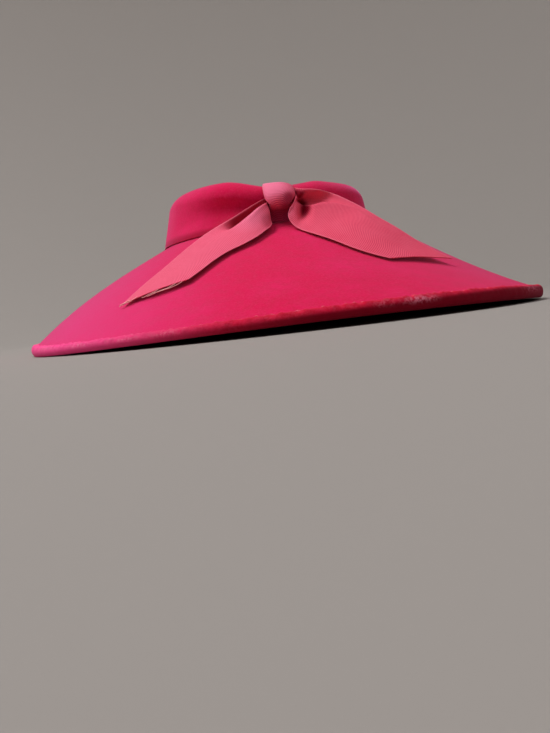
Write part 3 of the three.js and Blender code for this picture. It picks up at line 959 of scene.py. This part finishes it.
def add(tree, kind, group=None, **values):
    """A node, or a copy of a node group, with its inputs given by name."""
    node = tree.nodes.new(kind)
    if group:
        node.node_tree = group
    return fill(tree, node, **values)


def math_node(tree, operation, first, second=0.0):
    node = tree.nodes.new("ShaderNodeMath")
    node.operation = operation
    put_in(tree, node.inputs[0], first)
    put_in(tree, node.inputs[1], second)
    return node.outputs[0]


def mix_colour(tree, share, first, second):
    node = tree.nodes.new("ShaderNodeMix")
    node.data_type = "RGBA"
    for socket, value in ((node.inputs[0], share), (node.inputs[6], first), (node.inputs[7], second)):
        put_in(tree, socket, value)
    return node.outputs[2]


def remap(tree, value, low, high, to_low=0.0, to_high=1.0):
    limits = dict(From_Min=low, From_Max=high, To_Min=to_low, To_Max=to_high)
    node = add(tree, "ShaderNodeMapRange", Value=value, **limits)
    node.interpolation_type = "SMOOTHSTEP"
    return node.outputs[0]


def new_group(name, **inputs):
    """A group with inputs listed by kind, and a colour, a roughness and a height as outputs."""
    tree = bpy.data.node_groups.new(name, "ShaderNodeTree")
    for kind, names in inputs.items():
        for socket in names.split(", "):
            tree.interface.new_socket(socket, in_out="INPUT", socket_type="NodeSocket" + kind)
    for socket, kind in (("Colour", "Color"), ("Roughness", "Float"), ("Height", "Float")):
        tree.interface.new_socket(socket, in_out="OUTPUT", socket_type="NodeSocket" + kind)
    return tree, tree.nodes.new("NodeGroupInput").outputs, tree.nodes.new("NodeGroupOutput").inputs


# %% [markdown]
# ### The nap of the felt
#
# Felt is a mat of fine hair, with a soft mottle and a fine grain. Towards the left it is painted paler
# and pinker, as painted window light. The masks on the points do the rest: painted shade is deeper, and
# worn nap is nibbled and pale, which along the roll's seam is a painted highlight.

# %% The nap of the felt
NAP_NOISE = dict(
    blotch=dict(size=38, detail=2),
    cloud=dict(size=7, detail=3),
    hair=dict(size=1.3, detail=4, roughness=0.7),
    fleck=dict(size=1.8, detail=2),
    nibble=dict(size=2.2, detail=4, roughness=0.7),
)
# Where each layer starts and is full, and then its least and most where these are not 0 and 1
NAP = Sizes(
    pale=(0.42, 0.72),
    deep=(0.62, 0.36),
    grain=(0.32, 0.68, 0, 0.45),
    fleck=(0.5, 0.75, 0, 0.05),
    nibbled=(0.42, 0.6),
    roughness=(0.3, 0.7, 0.82, 0.98),
    cloud_height=0.6,
)


def noise(tree, vector, size, detail=3.0, roughness=0.5):
    """Noise whose bumps are about `size` millimetres wide."""
    settings = dict(Scale=1 / (size * MM), Detail=detail, Roughness=roughness)
    return add(tree, "ShaderNodeTexNoise", Vector=vector, **settings).outputs[0]


def layered(tree, given, layers):
    """The group's own colour with others laid over it in turn, each by its share and strength."""
    colour = given["Colour"]
    for share, strength, name in layers:
        share = math_node(tree, "MULTIPLY", share, strength)
        colour = mix_colour(tree, share, colour, given[name])
    return colour


def make_nap_group():
    tree, given, put = new_group(
        "Brushed nap",
        Vector="Place",
        Color="Colour, Pale, Deep, Faded, Unfaded, Rubbed",
        Float="kept dye, worn, Mottle, Fade, Fade from, Fade to",
    )
    made = Sizes(**{name: noise(tree, given["Place"], **NAP_NOISE[name]) for name in NAP_NOISE})
    across = add(tree, "ShaderNodeSeparateXYZ", Vector=given["Place"]).outputs["X"]
    leftness = remap(tree, across, given["Fade from"], given["Fade to"])
    layers = [
        (remap(tree, made.blotch, *NAP.pale), given["Mottle"], "Pale"),
        (remap(tree, made.cloud, *NAP.deep), given["Mottle"], "Deep"),
        (remap(tree, made.hair, *NAP.grain), 1.0, "Pale"),
        (remap(tree, made.fleck, *NAP.fleck), 1.0, "Rubbed"),
        # Painted window light towards the left, painted shade, and wear that also paints a highlight at the
        # roll's seam.
        (leftness, given["Fade"], "Faded"),
        (given["kept dye"], 1.0, "Unfaded"),
        (remap(tree, made.nibble, *NAP.nibbled), given["worn"], "Rubbed"),
    ]
    low_bumps = math_node(tree, "MULTIPLY", made.cloud, NAP.cloud_height)
    tree.links.new(layered(tree, given, layers), put["Colour"])
    tree.links.new(remap(tree, made.cloud, *NAP.roughness), put["Roughness"])
    tree.links.new(math_node(tree, "ADD", made.hair, low_bumps), put["Height"])
    return tree


nap = make_nap_group()
print("node group:", nap.name)

# %% [markdown]
# ### Ribs and threads
#
# The ribs are already in the mesh. The finish gives them darker grooves, and adds the fine threads that
# run along the ribbon and the paler selvedges, which are partly a painted highlight along the edges. It
# also paints highlights and paints shade into the folds.

# %% The ribs and threads of grosgrain
WEAVE = Sizes(
    rib=(-1, 0.6),
    thread_pitch=0.45,
    thread_height=0.15,
    patch_size=9,
    patches=(0.3, 0.7, 0, 0.16),
    # Selvedges are paler, and stand also for a painted highlight along the ribbon's edges.
    selvedge=(1.1, 0.3),
    bleached_groove=(0, 1, 0.7, 1),
    kept_at_edge=(0.4, 1.5, 0.4, 1),
    roughness=(0, 1, 0.72, 0.5),
)


def make_rib_group():
    tree, given, put = new_group(
        "Rib weave",
        Vector="Flat, Place",
        Color="Colour, Groove, Selvedge, Unfaded, Pale",
        Float="kept dye, bleached, Pitch, Width",
    )
    split = add(tree, "ShaderNodeSeparateXYZ", Vector=given["Flat"])
    across, along = split.outputs[0], split.outputs[1]
    turns = math_node(tree, "MULTIPLY", math_node(tree, "DIVIDE", along, given["Pitch"]), math.tau)
    rib = remap(tree, math_node(tree, "COSINE", turns), *WEAVE.rib)
    thread_turns = math_node(tree, "MULTIPLY", across, math.tau / WEAVE.thread_pitch)
    threads = math_node(tree, "SINE", thread_turns)
    inset = math_node(tree, "MINIMUM", across, math_node(tree, "SUBTRACT", given["Width"], across))
    patches = noise(tree, given["Place"], WEAVE.patch_size)
    layers = [
        (math_node(tree, "SUBTRACT", 1.0, rib), 1.0, "Groove"),
        (remap(tree, patches, *WEAVE.patches), 1.0, "Selvedge"),
        # The paler selvedge, partly a painted highlight along the edges.
        (remap(tree, inset, *WEAVE.selvedge), 1.0, "Selvedge"),
        # Painted highlights, strongest on the ribs.
        (given["bleached"], remap(tree, rib, *WEAVE.bleached_groove), "Pale"),
        # Painted shade in the folds, lighter at the edges.
        (given["kept dye"], remap(tree, inset, *WEAVE.kept_at_edge), "Unfaded"),
    ]
    threads = math_node(tree, "MULTIPLY", threads, WEAVE.thread_height)
    tree.links.new(layered(tree, given, layers), put["Colour"])
    tree.links.new(remap(tree, rib, *WEAVE.roughness), put["Roughness"])
    tree.links.new(math_node(tree, "ADD", rib, threads), put["Height"])
    return tree


rib_weave = make_rib_group()
print("node group:", rib_weave.name)

# %% [markdown]
# ### The finishes themselves
#
# Brushed felt has a strong sheen that brightens it at grazing angles, and the worn rim has hardly any.
# The band is drawn tight, so its ribs are crisper and shine a little, where the tails have gone dull.
# Each finish is one call with its own colours, so that they can be compared and tuned side by side.

# %% What the finishes share
def new_material(name):
    material = bpy.data.materials.new(name)
    material.use_nodes = True
    return material, material.node_tree, material.node_tree.nodes["Principled BSDF"]


def place_on(tree):
    return add(tree, "ShaderNodeTexCoord").outputs["Object"]


def masks(tree, *names):
    """The points' masks, by the group's inputs that take them."""
    made = {}
    for name in names:
        node = tree.nodes.new("ShaderNodeAttribute")
        node.attribute_name = name
        made[name] = node.outputs["Fac"]
    return made


def link_group(tree, shader, made, bump, depth, specular, sheen, tint):
    """The group's outputs and the shine to the shader, with the bump's depth in millimetres."""
    colour, roughness, height = made.outputs
    bumped = add(tree, "ShaderNodeBump", Height=height, Strength=bump, Distance=depth * MM)
    fill(tree, shader, Base_Color=colour, Roughness=roughness, Normal=bumped.outputs[0])
    fill(tree, shader, Specular_IOR_Level=specular, Sheen_Weight=sheen, Sheen_Roughness=0.35, Sheen_Tint=tint)


# %% Two felts
def felt_material(name, bump, sheen, tint, **finish):
    material, tree, shader = new_material(name)
    finish.update(masks(tree, "kept_dye", "worn"), Place=place_on(tree))
    made = add(tree, "ShaderNodeGroup", nap, **finish)
    link_group(tree, shader, made, bump, depth=0.3, specular=0.15, sheen=sheen, tint=tint)
    return material


# In both felts, beside their own colours, one colour is painted window light from the left and one is painted
# shade.
felt = felt_material(
    "brushed_felt", bump=0.4, sheen=0.56, tint=linear(255, 150, 215),
    Colour=linear(216, 9, 68), Pale=linear(229, 30, 96), Deep=linear(203, 3, 58),
    Faded=linear(230, 60, 128), Unfaded=linear(152, 0, 38), Rubbed=linear(240, 120, 150),
    Mottle=0.5, Fade=0.7, Fade_from=-0.03, Fade_to=-0.17,
)
rim_felt = felt_material(
    "rim_felt", bump=0.5, sheen=0.08, tint=linear(255, 160, 210),
    Colour=linear(206, 12, 50), Pale=linear(222, 44, 84), Deep=linear(184, 6, 38),
    # The rubbed colour also paints the highlight along the seam's edge.
    Faded=linear(252, 76, 146), Unfaded=linear(134, 0, 30), Rubbed=linear(250, 140, 168),
    Mottle=0.7, Fade=1.0, Fade_from=-0.04, Fade_to=-0.18,
)
print("felts:", felt.name, "and", rim_felt.name)


# %% Two ribbons and the threads
def ribbon_material(name, bump, sheen, **colours):
    material, tree, shader = new_material(name)
    flat = tree.nodes.new("ShaderNodeUVMap")
    flat.uv_map = "ribbon"
    # Pale is the colour of the painted highlights.
    colours.update(Selvedge=linear(240, 108, 134), Pale=linear(255, 130, 165))
    given = dict(Flat=flat.outputs[0], Place=place_on(tree), Pitch=RIBBON.rib_pitch, Width=RIBBON.width)
    given.update(masks(tree, "kept_dye", "bleached"), **colours)
    made = add(tree, "ShaderNodeGroup", rib_weave, **given)
    tint = linear(255, 180, 205)
    link_group(tree, shader, made, bump, depth=0.15, specular=0.06, sheen=sheen, tint=tint)
    return material


def thread_material(name, size, roughness):
    material, tree, shader = new_material(name)
    twist = noise(tree, place_on(tree), size)
    colour = mix_colour(tree, twist, linear(250, 150, 160), linear(255, 205, 200))
    fill(tree, shader, Base_Color=colour, Roughness=roughness)
    return material


# Beside the ribbon's own colours, one colour is the painted shade in its folds.
grosgrain = ribbon_material(
    "grosgrain", bump=0.45, sheen=0.03,
    Colour=linear(240, 91, 119), Groove=linear(215, 60, 90), Unfaded=linear(134, 0, 33),
)
# Its colours are lighter than the tails' ribbon, as painted light on the knot, and its shade colour is bluer,
# as a painted reflection.
tight_grosgrain = ribbon_material(
    "tight_grosgrain", bump=0.6, sheen=0.16,
    Colour=linear(250, 104, 136), Groove=linear(194, 38, 76), Unfaded=linear(138, 2, 62),
)
thread = thread_material("loose_thread", size=1.5, roughness=0.7)
print("ribbons and threads:", grosgrain.name, tight_grosgrain.name, thread.name)

# %% [markdown]
# ## Standing in for the imported pieces
#
# Each fine mesh takes its finish, and the imported piece that it stands for is hidden. The loose threads
# stand for none. The roll is padded and the bow's pieces are flat ribbons folded up. The band is built
# only as far as it shows: the cloth gathered in behind it is left out, and the ribbon's real cut would be
# about 42 by 74 mm.

# %% Dress the pieces
DRESS = [
    (brim, felt, "brim", "felt"),
    (crown, felt, "crown", "felt"),
    (rolled_rim, rim_felt, "edge_binding", "rolled_felt"),
    (band, tight_grosgrain, "ribbon_knot", "grosgrain"),
    (left_tail, grosgrain, "ribbon_tail_left", "grosgrain"),
    (right_tail, grosgrain, "ribbon_tail_right", "grosgrain"),
    (frayed_end, thread, None, "grosgrain"),
]
for piece, material, node, slot in DRESS:
    piece.data.materials.append(material)
    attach(piece, "root")
    if node:
        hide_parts(node)
    print(piece.name, "stands for", node or "no packed piece")

# %% [markdown]
# ## The stage
#
# The hat rests on a pale floor that sweeps up into a wall all round, so that no view has a hard horizon.
# A large soft lamp high at the left models the felt. A weak one from the front right keeps the shadows
# open, and a low, cool one at the left is like a window. The camera is close, in front and at the rim's
# height, and leans to the side as a hand-held one does.

# %% Floor
SWEEP = Sizes(hole=0.001, middle=0.6, flat=0.8, bend=1.3, wall=1.2, steps=16, segments=96)


def build_sweep():
    """A round floor whose edge curves up into a wall, in metres."""
    flat, bend = SWEEP.flat, SWEEP.bend
    turns = np.radians(np.linspace(0, 90, SWEEP.steps))[1:]
    profile = [(radius, 0.0) for radius in (SWEEP.hole, SWEEP.middle, flat)]
    profile += [(flat + bend * math.sin(turn), bend * (1 - math.cos(turn))) for turn in turns]
    profile.append((flat + bend, bend + SWEEP.wall))
    radius, height = np.array(profile).T
    points = on_circle(around(SWEEP.segments), radius, height) / MM
    return mesh_object("sweep", points, grid_faces(*points.shape[:2], close_rows=True))


sweep = build_sweep()
paper, paper_tree, paper_shader = new_material("pale_paper")
fill(paper_tree, paper_shader, Base_Color=linear(150, 144, 138), Roughness=0.9)
sweep.data.materials.append(paper)

# %% Lamps
# name, place, size, power and colour
LAMPS = [
    ("key_lamp", (-1.3, 0, 2.6), 1.3, 62, (1, 0.98, 1)),
    ("fill_lamp", (1.2, -1.6, 2.2), 1.4, 10, (1, 0.96, 0.98)),
    ("window_lamp", (-2.5, -0.9, 0.9), 1.2, 9, (0.9, 0.95, 1)),
]
HAT_MIDDLE = Vector((0, 0, 0.06))


def place_at(name, data, place, turn):
    made = bpy.data.objects.new(name, data)
    made.location = place
    made.rotation_mode = "QUATERNION"
    made.rotation_quaternion = turn
    bpy.context.scene.collection.objects.link(made)
    return made


def looking(place, target):
    return (target - Vector(place)).to_track_quat("-Z", "Y")


for name, place, size, power, colour in LAMPS:
    data = bpy.data.lights.new(name, "AREA")
    data.size = size
    data.energy = power
    data.color = colour
    place_at(name, data, place, looking(place, HAT_MIDDLE))
    print(name, power, "W")

# %% Sky
SKY = Sizes(colour=(0.9, 0.95, 1.0, 1.0), low=-0.1, high=0.9, dark=0.04, bright=0.62)

world = bpy.data.worlds.new("soft_sky")
world.use_nodes = True
sky_tree = world.node_tree
direction = add(sky_tree, "ShaderNodeTexCoord").outputs["Generated"]
height = add(sky_tree, "ShaderNodeSeparateXYZ", Vector=direction).outputs["Z"]
brightness = remap(sky_tree, height, SKY.low, SKY.high, SKY.dark, SKY.bright)
fill(sky_tree, sky_tree.nodes["Background"], Color=SKY.colour, Strength=brightness)
bpy.context.scene.world = world
bpy.context.scene.view_settings.view_transform = "Standard"

# %% Camera
EYE = Vector((-0.0897, -0.5961, 0.0133))
AIM = Vector((-0.0128, 0.0, -0.0315))
LEAN = 6.54

camera_data = bpy.data.cameras.new("camera")
camera_data.lens = 36.4
camera_data.clip_start = 0.01
turn = looking(EYE, AIM) @ Quaternion((0, 0, 1), math.radians(-LEAN))
bpy.context.scene.camera = place_at("camera", camera_data, EYE, turn)
print("the camera is", round((AIM - EYE).length, 2), "m from its aim")
